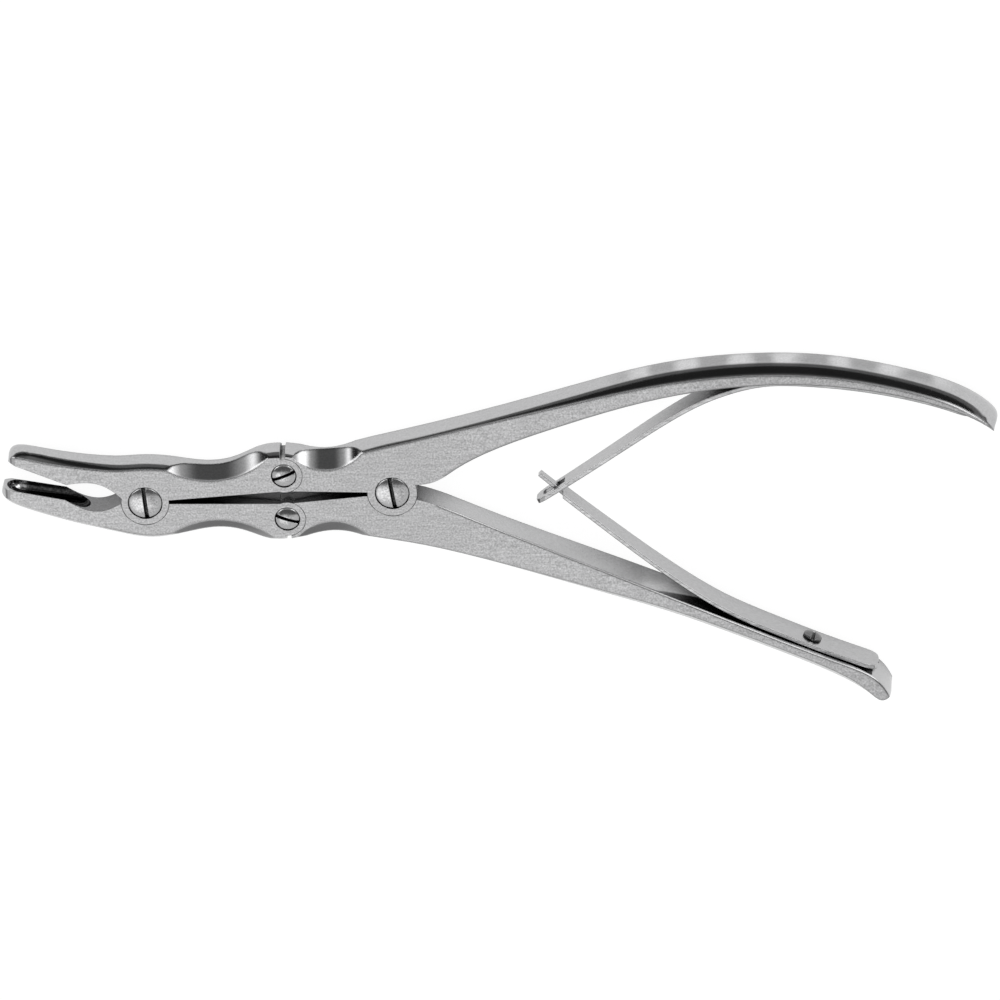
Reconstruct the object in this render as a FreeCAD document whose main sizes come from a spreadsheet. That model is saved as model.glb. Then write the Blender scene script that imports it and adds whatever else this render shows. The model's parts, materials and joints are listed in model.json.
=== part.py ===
"""Double-action bone rongeur: four levers, four joint screws and two leaf springs.

The instrument lies flat. Z runs through its thickness, the slotted heads face +Z, X runs from the
main joint towards the handle ends, and +Y is towards the bowed handle. The origin is on the axis of
the main joint, at the back of its plates. Lengths are millimetres and angles are degrees.
"""
import FreeCAD, Part
import math
import os
import re
import Sketcher

Vector = FreeCAD.Vector

# Driving sizes: name, value, what it is
SIZES = [
    ("link_reach", 19.85, "main joint to link screws, along X"),
    ("link_rise", 4.43, "link screws above and below the centre line"),
    ("jaw_reach", 26.15, "link screws to jaw joint, along X"),
    ("plate", 6.2, "thickness of the levers at their joints"),
    ("lap_gap", 0.05, "running gap between faces that slide on each other"),
    ("rim_gap", 0.07, "gap round a lug in its recess"),
    ("bore_gap", 0.03, "gap round a shank in the lug that turns on it"),
    ("jaw_bore_gap", 0.06, "the same at the jaw joint"),
    ("thread_gap", 0.015, "gap round a shank in the lug that it is screwed into"),
    ("head_gap", 0.12, "gap round a screw head in its recess"),
    ("main_lug", 4.6, "radius of the lugs at the main joint"),
    ("jaw_lug", 4.4, "radius of the lugs at the jaw joint"),
    ("link_lug", 3.4, "radius of the lugs at the link joints"),
    ("slit", 0.35, "centre line to an arm, beside the main and jaw joints"),
    ("slit_end", 1.25, "centre line to an arm, at the link joints"),
    ("shoulder_gap", 1.0, "gap between the outer shoulders of jaw and handle"),
    ("shoulder", 9.45, "height of the outer shoulders at the link joints"),
    ("handle_waist", 8.05, "height of the handles at their hollow"),
    ("handle_root", 11.6, "height of the handles beside the main joint"),
    ("jaw_waist", 6.3, "height of the jaw arms at their hollow"),
    ("jaw_back", 8.4, "height of the jaws at their joint"),
    ("jaw_crown", 1.3, "how far the jaw's back swells between its edges"),
    ("grip_crown", 2.2, "how far the handle's back swells between its edges"),
    ("grip_width", 8.8, "width of the grips"),
    ("grip_start", 8.0, "where the handles start to widen"),
    ("grip_full", 58.0, "where the handles reach their full width"),
    ("upper_end", 113.3, "main joint to the upper handle's end, along X"),
    ("upper_drop", 8.7, "height of the upper handle's end"),
    ("bow", 24.2, "height of the upper handle's bow"),
    ("grip_height", 4.2, "depth of the upper grip, from back to inner face"),
    ("lower_end", 89.4, "main joint to the lower handle's end, along X"),
    ("lower_drop", 46.6, "depth of the lower handle's end"),
    ("tip_reach", 26.9, "jaw joint to the jaw tips"),
    ("tip_width", 5.2, "width of the jaws at their tips"),
    ("nose", 3.0, "length of the rounded end of a jaw"),
    ("bite_tilt", 10.6, "angle of the closed bite's heel to the centre line"),
    ("bite_curl", 0.3, "how much that angle grows in each millimetre towards the tips"),
    ("bite_open", 5.7, "angle that each jaw stands open"),
    ("heel_reach", 15.0, "jaw joint to the heel of the bite"),
    ("bite_gap", 0.06, "half the gap left between the closed jaws"),
    ("heel_height", 5.3, "depth of a jaw behind the heel of its bite"),
    ("tip_height", 3.5, "depth of a jaw behind its bite, near the tip"),
    ("notch_depth", 1.8, "depth of the hollow behind the bite"),
    ("cup_rim", 0.15, "metal left beside the cup"),
    ("cup_wall", 1.0, "metal left between the cup and the tip"),
    ("cup_end", 5.5, "how far the cup runs past the heel of the bite"),
    ("jaw_wheel", 22.0, "radius of the hollows ground in the corners of the jaw arms"),
    ("jaw_hollow", 2.3, "how far these hollows reach down the front and back faces"),
    ("handle_wheel", 11.5, "radius of the hollows on the handles"),
    ("handle_hollow", 2.8, "how far these reach down the front and back faces"),
    ("hollow_tilt", 42.0, "angle of the hollows to these faces"),
    ("jaw_head", 3.1, "head radius of the main and jaw screws"),
    ("jaw_shank", 1.75, "shank radius of the main and jaw screws"),
    ("jaw_slot", 0.75, "width of their slots"),
    ("link_head", 2.25, "head radius of the link screws"),
    ("link_shank", 1.25, "shank radius of the link screws"),
    ("link_slot", 0.6, "width of their slots"),
    ("head_depth", 1.3, "depth of the screw heads"),
    ("head_dome", 0.25, "how far a head swells out of its recess"),
    ("slot_depth", 0.8, "depth of the slots"),
    ("main_slot_angle", 96.0, "direction of the main screw's slot"),
    ("jaw_slot_angle", 93.0, "direction of the jaw screw's slot"),
    ("upper_slot_angle", 21.0, "direction of the upper link screw's slot"),
    ("lower_slot_angle", -21.0, "direction of the lower link screw's slot"),
    ("leaf", 0.75, "thickness of the springs"),
    ("leaf_width", 6.4, "width of the springs on the handles"),
    ("leaf_tip", 4.0, "width of the springs where they cross"),
    ("leaf_gap", 0.12, "gap between a spring and the grip that carries it"),
    ("cross_x", 30.4, "main joint to the crossing of the springs, along X"),
    ("cross_y", -1.5, "height of the crossing of the springs"),
    ("leaf_past", 4.3, "how far the springs run past their crossing"),
    ("slot_wide", 2.2, "width of the slot in the upper spring"),
    ("tongue", 1.7, "width of the tongue on the lower spring"),
    ("leaf_screw_head", 1.75, "head radius of the spring screws"),
    ("leaf_screw_shank", 0.9, "shank radius of the spring screws"),
    ("leaf_screw_dome", 0.95, "height of a spring screw's round head"),
    ("leaf_screw_depth", 2.6, "length of a spring screw in its handle"),
    ("tap_past", 0.3, "how far a blind hole runs past its screw"),
]

LINK_X = "(-link_reach)"
JAW_X = "(-link_reach - jaw_reach)"
MID = "(plate / 2)"
FORK_FRONT = "(plate * 2 / 3 + lap_gap / 2)"
FORK_BACK = "(plate / 3 - lap_gap / 2)"
TAPER_FROM = "(jaw_lug * 1.2)"

# How many strips a lever's back and inner faces are ruled in, from its back to its front
STRIPS = 6

doc = FreeCAD.newDocument("BoneRongeur")
sheet = doc.addObject("Spreadsheet::Sheet", "Sizes")
for row, (alias, value, note) in enumerate(SIZES, start=1):
    sheet.set(f"A{row}", alias)
    sheet.set(f"B{row}", str(value))
    sheet.set(f"C{row}", note)
    sheet.setAlias(f"B{row}", alias)
doc.recompute()


def bound(formula):
    """The formula with each size's name written as a cell of the sheet."""
    return re.sub(r"\b([a-z]\w*)\b(?!\()", r"Sizes.\1", str(formula))


def number(formula):
    """The formula's value, for drawing a sketch near its final shape."""
    result = sheet.evalExpression(bound(formula))
    return float(getattr(result, "Value", result))


def between(start, end, share):
    """A formula for the place that lies the given share of the way from start to end."""
    return f"(({start}) + (({end}) - ({start})) * {share})"


def new_body(name):
    body = doc.addObject("PartDesign::Body", name)
    body.Label = name
    return body


def new_sketch(body, name, plane="XY_Plane", offset="0"):
    """A sketch on one of the body's origin planes, moved along the plane's normal."""
    sketch = body.newObject("Sketcher::SketchObject", name)
    support = next(item for item in body.Origin.OriginFeatures if item.Role == plane)
    sketch.AttachmentSupport = [(support, "")]
    sketch.MapMode = "FlatFace"
    sketch.setExpression("AttachmentOffset.Base.z", bound(offset))
    return sketch


def pin_point(sketch, geometry, vertex, point):
    """Hold one vertex of the sketch at a point given by two formulas."""
    for kind, formula in zip(("DistanceX", "DistanceY"), point):
        index = sketch.addConstraint(Sketcher.Constraint(kind, -1, 1, geometry, vertex, number(formula)))
        name = f"{kind[-1].lower()}{index}"
        sketch.renameConstraint(index, name)
        sketch.setExpression(f"Constraints.{name}", bound(formula))


def add_curve(sketch, points):
    """A smooth curve whose control points are all held, apart from the last."""
    poles = [Vector(number(point[0]), number(point[1]), 0) for point in points]
    spans = len(poles) - 3
    spline = Part.BSplineCurve()
    spline.buildFromPolesMultsKnots(poles, [4] + [1] * (spans - 1) + [4], list(range(spans + 1)), False, 3)
    curve = sketch.addGeometry(spline, False)
    weight = None
    for index, (pole, point) in enumerate(zip(poles, points)):
        circle = sketch.addGeometry(Part.Circle(pole, Vector(0, 0, 1), 1.0), True)
        if weight is None:
            weight = circle
            sketch.addConstraint(Sketcher.Constraint("Weight", circle, 1.0))
        else:
            sketch.addConstraint(Sketcher.Constraint("Equal", weight, circle))
        sketch.addConstraint(
            Sketcher.Constraint("InternalAlignment:Sketcher::BSplineControlPoint", circle, 3, curve, index))
        if index < len(poles) - 1:
            pin_point(sketch, circle, 3, point)
    return curve


def add_line(sketch, points):
    start, end = [Vector(number(point[0]), number(point[1]), 0) for point in points]
    line = sketch.addGeometry(Part.LineSegment(start, end), False)
    pin_point(sketch, line, 1, points[0])
    return line


def add_axis(sketch, points):
    """A construction line to turn the sketch about."""
    start, end = [Vector(number(point[0]), number(point[1]), 0) for point in points]
    line = sketch.addGeometry(Part.LineSegment(start, end), True)
    pin_point(sketch, line, 1, points[0])
    pin_point(sketch, line, 2, points[1])
    return line


def add_arc(sketch, ends, axis, axis_line):
    """An arc with its centre on the axis, and which of its vertices come first and last."""
    start, end = [Vector(number(x), number(y), 0) for x, y in ends]
    foot, head = [Vector(number(x), number(y), 0) for x, y in axis]
    chord = start - end
    share = ((start.dot(start) - end.dot(end)) / 2 - foot.dot(chord)) / (head - foot).dot(chord)
    centre = foot + (head - foot) * share
    angles = [math.atan2(point.y - centre.y, point.x - centre.x) for point in (start, end)]
    forward = (angles[1] - angles[0]) % (2 * math.pi) < math.pi
    circle = Part.Circle(centre, Vector(0, 0, 1), start.distanceToPoint(centre))
    arc = sketch.addGeometry(Part.ArcOfCircle(circle, *(angles if forward else angles[::-1])), False)
    first, last = (1, 2) if forward else (2, 1)
    pin_point(sketch, arc, first, ends[0])
    sketch.addConstraint(Sketcher.Constraint("PointOnObject", arc, 3, axis_line))
    return arc, first, last


def draw(sketch, runs, axis=None):
    """A closed outline: two points make a line, four or more a curve, and arcs are centred on the axis."""
    axis_line = add_axis(sketch, axis) if axis else None
    edges = []
    for run in runs:
        if run[0] == "arc":
            edges.append(add_arc(sketch, run[1:], axis, axis_line))
        elif len(run) == 2:
            edges.append((add_line(sketch, run), 1, 2))
        else:
            edges.append((add_curve(sketch, run), 1, 2))
    for (edge, _, last), (following, first, _) in zip(edges, edges[1:] + edges[:1]):
        sketch.addConstraint(Sketcher.Constraint("Coincident", edge, last, following, first))


def polygon(points):
    return [[start, end] for start, end in zip(points, points[1:] + points[:1])]


def draw_circle(sketch, centre, radius):
    middle = Vector(number(centre[0]), number(centre[1]), 0)
    circle = sketch.addGeometry(Part.Circle(middle, Vector(0, 0, 1), number(radius)), False)
    pin_point(sketch, circle, 3, centre)
    index = sketch.addConstraint(Sketcher.Constraint("Radius", circle, number(radius)))
    sketch.renameConstraint(index, "radius")
    sketch.setExpression("Constraints.radius", bound(radius))


def disc(body, name, centre, radius, low, high):
    """Add a round plate between two heights."""
    sketch = new_sketch(body, f"{name}_sketch", offset=low)
    draw_circle(sketch, centre, radius)
    pad = body.newObject("PartDesign::Pad", name)
    pad.Profile = sketch
    pad.setExpression("Length", bound(f"({high}) - ({low})"))


def round_cut(body, name, centre, radius, low, high):
    """Cut a round recess or bore between two heights."""
    sketch = new_sketch(body, f"{name}_sketch", offset=high)
    draw_circle(sketch, centre, radius)
    pocket = body.newObject("PartDesign::Pocket", name)
    pocket.Profile = sketch
    pocket.setExpression("Length", bound(f"({high}) - ({low})"))


def cut_across(body, name, runs, plane="XZ_Plane"):
    """Cut an outline right through the body, both ways from its plane."""
    sketch = new_sketch(body, f"{name}_sketch", plane)
    draw(sketch, runs)
    pocket = body.newObject("PartDesign::Pocket", name)
    pocket.Profile = sketch
    pocket.Type = "ThroughAll"
    pocket.Midplane = True


def lever(name, outline, width, crown):
    """A forged lever: even strips ruled from back to front between outlines that follow its crown."""
    body = new_body(name)
    sketches = []
    for step in range(STRIPS + 1):
        share = step / STRIPS - 0.5
        sketch = new_sketch(body, f"{name}_section{step}", offset=f"{MID} + {width} * {share:.4f}")
        draw(sketch, outline(f"{crown} * {4 * share * share:.4f}"))
        sketches.append(sketch)
    loft = body.newObject("PartDesign::AdditiveLoft", f"{name}_blank")
    loft.Profile = sketches[0]
    loft.Sections = sketches[1:]
    loft.Ruled = True
    return body


def swelling(points, inset, side):
    """Control points moved inwards by the inset: each point is X, Y and its share of the swelling."""
    moved = []
    for x, y, *share in points:
        along, across = share or (0, 1)
        moved.append((f"{x} + ({inset}) * {along}", f"{y} - ({inset}) * {across * side}"))
    return moved


def bite_point(side, radius, lift="0"):
    """A point of a jaw by its distance along the bite from the jaw joint and its height behind the bite."""
    angle = f"bite_tilt + bite_open * {side} + bite_curl * (({radius}) - heel_reach)"
    x = f"{JAW_X} - ({radius}) * cos({angle}) + ({lift}) * sin({angle}) * {side}"
    y = f"({radius}) * sin({angle}) + ({lift}) * cos({angle}) * {side}"
    return x, y


def jaw_outline(side):
    """The jaw's outline; side is 1 for the upper jaw and -1 for the lower jaw."""
    shoulder_x = f"{LINK_X} - shoulder_gap / 2"
    heel = bite_point(side, "heel_reach", "bite_gap")
    tip = bite_point(side, "tip_reach * 0.985", "bite_gap")

    def back(share, height):
        return between(shoulder_x, JAW_X, share), f"({height}) * {side}"

    def front(share, lift, along=0, across=1):
        return bite_point(side, f"tip_reach * {share}", lift) + (along, across)

    outer = [
        back(0, "shoulder"),
        back(0.14, "shoulder + 0.3"),
        back(0.31, between("shoulder", "jaw_waist", 0.78)),
        back(0.53, "jaw_waist"),
        back(0.77, between("jaw_waist", "jaw_back", 0.62)),
        back(1, "jaw_back"),
        front(0.23, "heel_height * 1.25"),
        front(0.47, "heel_height * 1.06", 0, 1.15),
        front(0.69, between("heel_height", "tip_height", 0.4), 0, 1.35),
        front(0.87, "tip_height * 1.09", 0, 1.5),
        front(0.975, "tip_height * 0.84", 0.45, 1.3),
        front(1.005, "tip_height * 0.38", 0.6, 0.4),
        tip + (0, 0),
    ]
    ring = bite_point(side, "jaw_lug", "bite_gap")
    hollow = [
        bite_point(side, between("heel_reach", "jaw_lug", share), f"notch_depth * {depth}")
        for share, depth in ((0.20, 0.65), (0.50, 1.30), (0.78, 0.85))
    ]
    inner_joint = (f"{JAW_X} + jaw_lug * 0.95", f"slit * {side}")
    inner_link = (shoulder_x, f"slit_end * {side}")

    def outline(inset):
        back_line = swelling(outer, inset, side)
        return [
            back_line,
            [tip, heel],
            [heel] + hollow + [ring],
            [ring, inner_joint],
            [inner_joint, inner_link],
            [inner_link, back_line[0]],
        ]
    return outline


def make_jaw(name, side):
    body = lever(name, jaw_outline(side), "plate", "jaw_crown")
    joint = (JAW_X, "0")
    link = (LINK_X, f"link_rise * {side}")
    cut_across(body, f"{name}_front_taper", taper("plate", 1))
    cut_across(body, f"{name}_back_taper", taper("0", -1))
    round_nose(body, name, side)
    lapped_lug(body, name, joint, "jaw_lug", side)
    disc(body, f"{name}_front_ear", link, "link_lug", FORK_FRONT, "plate")
    disc(body, f"{name}_back_ear", link, "link_lug", "0", FORK_BACK)
    round_cut(body, f"{name}_fork", link, "link_lug + rim_gap", FORK_BACK, FORK_FRONT)
    cup(body, name, side)
    joint_bore(body, name, joint, "jaw_bore_gap", side)
    round_cut(body, f"{name}_link_recess", link, "link_head + head_gap", "plate - head_depth", "plate * 2")
    round_cut(body, f"{name}_link_bore", link, "link_shank + thread_gap", "-plate", "plate * 2")
    ground_hollows(body, name, (between(LINK_X, JAW_X, 0.51), "jaw_waist - jaw_hollow"), side, "jaw_wheel")
    return body


def taper(face, side):
    """The wedge that thins a jaw from its joint to its tip."""
    near, far = TAPER_FROM, "tip_reach * 1.15"
    start = f"{JAW_X} - {near}"
    end = f"{JAW_X} - {far}"
    thin = f"{face} - (plate - tip_width) / 2 * {side} * ({far} - {near}) / (tip_reach - {near})"
    beyond = f"{face} + plate * {side}"
    return polygon([(start, face), (end, thin), (end, beyond), (start, beyond)])


def round_nose(body, name, side):
    """Round the tip of a jaw as it is seen from above."""
    tip_x = bite_point(side, "tip_reach * 1.005")[0]
    start = f"{tip_x} + nose * 1.1"
    for place, way in (("front", 1), ("back", -1)):
        def level(share):
            return f"{MID} + plate * {share} * {way}"

        corner = [
            (start, level(0.5)),
            (f"{tip_x} + nose * 0.45", level(0.45)),
            (tip_x, level(0.28)),
            (tip_x, level(0.02)),
        ]
        beyond = f"{tip_x} - nose"
        cut_across(body, f"{name}_{place}_nose", [
            corner,
            [corner[-1], (beyond, level(0.02))],
            [(beyond, level(0.02)), (beyond, level(1))],
            [(beyond, level(1)), (start, level(1))],
            [(start, level(1)), corner[0]],
        ])


def cup(body, name, side):
    """The spoon-shaped hollow behind the bite, turned about a line along it."""
    sketch = new_sketch(body, f"{name}_cup_sketch", offset=MID)
    front, back = "(tip_reach - cup_wall)", "(heel_reach - cup_end)"
    narrow_end = "(tip_width / 2 - cup_rim)"
    shrink = f"(plate - tip_width) / 2 * (heel_reach - {TAPER_FROM}) / (tip_reach - {TAPER_FROM})"
    wide_end = f"(plate / 2 - {shrink} - cup_rim)"
    ends = [bite_point(side, front, "bite_gap"), bite_point(side, back, "bite_gap")]
    wall = [
        bite_point(side, f"{front} - {narrow_end}", f"{narrow_end} + bite_gap"),
        bite_point(side, f"{back} + {wide_end}", f"{wide_end} + bite_gap"),
    ]
    draw(sketch, [("arc", ends[0], wall[0]), wall, ("arc", wall[1], ends[1]), [ends[1], ends[0]]], ends)
    groove = body.newObject("PartDesign::Groove", f"{name}_cup")
    groove.Profile = sketch
    groove.ReferenceAxis = (sketch, ["Axis0"])
    groove.Angle = 360


def lapped_lug(body, name, centre, radius, side):
    """One half of a lapped joint: the front half with side 1, the back half with side -1."""
    face = f"{MID} + lap_gap / 2 * {side}"
    if side > 0:
        round_cut(body, f"{name}_lap", centre, f"{radius} + rim_gap", "-plate", face)
        disc(body, f"{name}_lug", centre, radius, face, "plate")
    else:
        round_cut(body, f"{name}_lap", centre, f"{radius} + rim_gap", face, "plate * 2")
        disc(body, f"{name}_lug", centre, radius, "0", face)


def joint_bore(body, name, centre, running_gap, side):
    """The bore of a lapped joint: the front half turns on the screw, the back half holds its thread."""
    if side > 0:
        floor = "plate - head_depth"
        round_cut(body, f"{name}_head_recess", centre, "jaw_head + head_gap", floor, "plate * 2")
        round_cut(body, f"{name}_joint_bore", centre, f"jaw_shank + {running_gap}", "-plate", "plate * 2")
    else:
        round_cut(body, f"{name}_joint_bore", centre, "jaw_shank + thread_gap", "-plate", "plate * 2")


def ground_hollows(body, name, lowest, side, wheel):
    """The hollows that a wheel grinds in the front and back corners of the outer edge, beside a joint."""
    support = next(item for item in body.Origin.OriginFeatures if item.Role == "XY_Plane")
    run = "(plate * 4)"
    x, height = lowest
    for place, face, way in (("front", "plate", 1), ("back", "0", -1)):
        turn = f"(90 - hollow_tilt) * {side * way}"
        middle_y = f"({height} + {wheel} * sin(hollow_tilt)) * {side}"
        middle_z = f"{face} + {wheel} * cos(hollow_tilt) * {way}"
        start_y = f"{middle_y} + {run} / 2 * cos(hollow_tilt) * {side * way}"
        start_z = f"{middle_z} - {run} / 2 * sin(hollow_tilt)"
        cutter = body.newObject("PartDesign::SubtractiveCylinder", f"{name}_{place}_hollow")
        cutter.AttachmentSupport = [(support, "")]
        cutter.MapMode = "FlatFace"
        about_x = FreeCAD.Rotation(Vector(1, 0, 0), number(turn))
        cutter.AttachmentOffset = FreeCAD.Placement(Vector(), about_x)
        cutter.setExpression("AttachmentOffset.Rotation.Angle", bound(turn))
        cutter.setExpression("AttachmentOffset.Base.x", bound(x))
        cutter.setExpression("AttachmentOffset.Base.y", bound(start_y))
        cutter.setExpression("AttachmentOffset.Base.z", bound(start_z))
        cutter.setExpression("Radius", bound(wheel))
        cutter.setExpression("Height", bound(run))


def handle_outer(side, end_x, swell):
    """Control points of a handle's back: round the joints, then along swell to the end."""
    near = [
        (f"{LINK_X} + shoulder_gap / 2", f"shoulder * {side}"),
        (f"{LINK_X} * 0.78", between("shoulder", "handle_waist", 0.5) + f" * {side}"),
        (f"{LINK_X} * 0.55", f"handle_waist * {side}"),
        (f"{LINK_X} * 0.25", between("handle_waist", "handle_root", 0.48) + f" * {side}"),
        ("main_lug * 1.1", f"handle_root * {side}"),
    ]
    far = [(f"({end_x}) * {share}", height, along, across) for share, height, along, across in swell]
    return near + far


def upper_handle_outline(inset):
    root, end = "handle_root", "upper_drop"
    outer = handle_outer(1, "upper_end", [
        (0.177, between(root, "bow", 0.27), 0, 1),
        (0.318, between(root, "bow", 0.60), 0, 1),
        (0.442, between(root, "bow", 0.89), 0, 1),
        (0.583, "bow", 0, 1),
        (0.724, between("bow", end, 0.05), 0, 1),
        (0.848, between("bow", end, 0.28), 0, 1),
        (0.936, between("bow", end, 0.51), -0.3, 0.9),
        (0.985, between("bow", end, 0.77), -0.6, 0.7),
        (1.003, between("bow", end, 0.95), -0.7, 0.3),
        (0.993, between("bow", end, 1.02), 0, 0),
    ])
    depth = "(bow - grip_height)"
    inner = [outer[-1][:2]] + [
        (f"upper_end * {share}", height)
        for share, height in (
            (0.972, between(depth, end, 0.83)),
            (0.919, between(depth, end, 0.56)),
            (0.813, between(depth, end, 0.215)),
            (0.671, depth),
            (0.530, between("slit_end", depth, 0.968)),
            (0.406, between("slit_end", depth, 0.834)),
            (0.283, between("slit_end", depth, 0.605)),
            (0.177, between("slit_end", depth, 0.392)),
            (0.101, between("slit_end", depth, 0.168)),
            (0.072, "slit_end + 0.1"),
            (0.040, "slit_end + 0.25"),
        )
    ]
    return handle_runs(outer, inner, inset, 1)


def lower_handle_outline(inset):
    root, end = "(-handle_root)", "(-lower_drop)"
    outer = handle_outer(-1, "lower_end", [
        (0.224, between(root, end, 0.140), 0, 1),
        (0.403, between(root, end, 0.314), 0, 1),
        (0.559, between(root, end, 0.451), 0, 1),
        (0.716, between(root, end, 0.640), 0, 1),
        (0.850, between(root, end, 0.800), 0, 1),
        (0.940, between(root, end, 0.932), 0, 1),
        (0.980, between(root, end, 1.030), -0.3, 0.8),
        (1.003, between(root, end, 1.015), -0.6, 0.4),
        (1.0, between(root, end, 0.962), 0, 0),
    ])
    neck = "(-slit_end)"
    inner = [outer[-1][:2]] + [
        (f"lower_end * {share}", between(neck, end, height))
        for share, height in (
            (0.988, 0.905), (0.955, 0.852), (0.895, 0.803), (0.760, 0.677),
            (0.559, 0.476), (0.336, 0.270), (0.160, 0.105), (0.090, 0.028), (0.050, 0.005),
        )
    ]
    return handle_runs(outer, inner, inset, -1)


def handle_runs(outer, inner, inset, side):
    """The closed outline of a handle: its back, its inner face, its neck and the slit between the arms."""
    neck = inner[-1]
    slit_joint = ("-main_lug * 0.97", f"slit * {side}")
    slit_link = (f"{LINK_X} + shoulder_gap / 2", f"slit_end * {side}")
    top = swelling(outer, inset, side)
    return [top, inner, [neck, slit_joint], [slit_joint, slit_link], [slit_link, top[0]]]


def widening(face, side):
    """What is cut away beside a handle, so that it widens from its joint plate to its grip."""
    full = f"{face} + (grip_width - plate) / 2 * {side}"
    beyond = f"{face} + grip_width * {side}"
    start, finish = "(-link_reach * 1.4)", "grip_full"
    rise = [
        ("grip_start", face),
        (between("grip_start", finish, 0.35), face),
        (between("grip_start", finish, 0.65), full),
        (finish, full),
    ]
    return [
        [(start, face), ("grip_start", face)],
        rise,
        [(finish, full), (finish, beyond)],
        [(finish, beyond), (start, beyond)],
        [(start, beyond), (start, face)],
    ]


def make_handle(name, side, outline):
    body = lever(name, outline, "grip_width", "grip_crown")
    cut_across(body, f"{name}_front_widening", widening("plate", 1))
    cut_across(body, f"{name}_back_widening", widening("0", -1))
    joint = ("0", "0")
    link = (LINK_X, f"link_rise * {side}")
    lapped_lug(body, name, joint, "main_lug", side)
    cheek_front, cheek_back = f"{FORK_FRONT} - lap_gap", f"{FORK_BACK} + lap_gap"
    round_cut(body, f"{name}_front_cheek", link, "link_lug + rim_gap", cheek_front, "plate * 2")
    round_cut(body, f"{name}_back_cheek", link, "link_lug + rim_gap", "-plate", cheek_back)
    disc(body, f"{name}_tongue", link, "link_lug", cheek_back, cheek_front)
    joint_bore(body, name, joint, "bore_gap", side)
    round_cut(body, f"{name}_link_bore", link, "link_shank + bore_gap", "-plate", "plate * 2")
    tap(body, f"{name}_tap", *((upper_leaf(), 2, -1) if side > 0 else (lower_leaf(), 3, 1)))
    ground_hollows(body, name, (f"{LINK_X} * 0.59", "handle_waist - handle_hollow"), side, "handle_wheel")
    return body


def leaf_faces(points):
    """The two faces of a leaf spring: its centre line moved half a thickness each way across its run."""
    faces = []
    for way in (1, -1):
        face = []
        for index, (x, y) in enumerate(points):
            before = points[max(index - 1, 0)]
            after = points[min(index + 1, len(points) - 1)]
            run = Vector(number(after[0]) - number(before[0]), number(after[1]) - number(before[1]), 0)
            run.normalize()
            face.append((f"{x} + leaf / 2 * {run.y * way:.4f}", f"{y} - leaf / 2 * {run.x * way:.4f}"))
        faces.append(face)
    return faces


def seat(points, index):
    """Where a leaf's centre line passes the knot at a control point, and its direction there."""
    shares, steps = ((3, 7, 2), (-3, 1, 2)) if index == 2 else ((2, 8, 2), (-2, 0, 2))
    near = points[index - 1:index + 2]

    def mixed(axis, weights):
        return " + ".join(f"({point[axis]}) * {weight}" for point, weight in zip(near, weights))

    place = tuple(f"({mixed(axis, shares)}) / 12" for axis in (0, 1))
    slope = f"atan(({mixed(1, steps)}) / ({mixed(0, steps)}))"
    return place, slope


def turned_cut(body, name, place, slope, radius, low, high):
    """Bore a hole square to a leaf, between two distances from its centre line."""
    sketch = new_sketch(body, f"{name}_sketch", offset=MID)

    def corner(across, along):
        x = f"{place[0]} + ({across}) * cos({slope}) - ({along}) * sin({slope})"
        y = f"{place[1]} + ({across}) * sin({slope}) + ({along}) * cos({slope})"
        return x, y

    corners = [corner("0", low), corner(radius, low), corner(radius, high), corner("0", high)]
    draw(sketch, polygon(corners), [corners[0], corners[3]])
    groove = body.newObject("PartDesign::Groove", name)
    groove.Profile = sketch
    groove.ReferenceAxis = (sketch, ["Axis0"])
    groove.Angle = 360


def upper_leaf():
    """The upper spring's centre line, from the handle's end to just past the crossing."""
    end, depth = "upper_drop", "(bow - grip_height)"
    below = "- leaf_gap - leaf / 2"
    seated = [
        (f"upper_end * {share}", f"{between(depth, end, height)} {below} * {slant}")
        for share, height, slant in (
            (0.955, 0.735, 1.7), (0.919, 0.56, 1.2), (0.813, 0.215, 1.0), (0.671, 0, 1.6))
    ]
    lift = ("upper_end * 0.606", f"{depth} {below} * 1.4")
    free = [
        (between(lift[0], "cross_x", share), between(lift[1], "cross_y", height))
        for share, height in ((0.26, 0.14), (0.52, 0.43), (0.80, 0.77))
    ]
    past = ("cross_x - leaf_past * 0.86", "cross_y - leaf_past * 0.51")
    return seated + [lift] + free + [("cross_x", "cross_y"), past]


def lower_leaf():
    """The lower spring's centre line, from the handle's end to just past the crossing."""
    neck, end = "(-slit_end)", "(-lower_drop)"
    above = "+ leaf_gap + leaf / 2"
    seated = [
        (f"lower_end * {share}", f"{between(neck, end, height)} {above} * {slant}")
        for share, height, slant in (
            (0.978, 0.870, 1.2), (0.945, 0.844, 1.1), (0.900, 0.804, 1.1),
            (0.849, 0.759, 1.1), (0.760, 0.672, 1.1))
    ]
    lift = seated[-1]
    free = [
        (between(lift[0], "cross_x", share), between(lift[1], "cross_y", height))
        for share, height in ((0.24, 0.155), (0.52, 0.44), (0.80, 0.765))
    ]
    past = ("cross_x - leaf_past * 0.70", "cross_y + leaf_past * 0.70")
    return seated + free + [("cross_x", "cross_y"), past]


def round_root(body, name, tip_x):
    """Round the corners of a leaf's seated end."""
    start = f"({tip_x}) - leaf_width * 0.45"
    for place, way in (("front", 1), ("back", -1)):
        side = f"{MID} + leaf_width / 2 * {way}"
        beyond = f"{MID} + leaf_width * {way}"
        past = f"({tip_x}) + leaf_width * 0.2"
        corner = [
            (start, side),
            (f"({tip_x}) - leaf_width * 0.1", side),
            (tip_x, f"{MID} + leaf_width * 0.38 * {way}"),
            (tip_x, f"{MID} + leaf_width * 0.1 * {way}"),
        ]
        cut_across(body, f"{name}_{place}_round", [
            corner,
            [corner[-1], (past, corner[-1][1])],
            [(past, corner[-1][1]), (past, beyond)],
            [(past, beyond), (start, beyond)],
            [(start, beyond), (start, side)],
        ])


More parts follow.
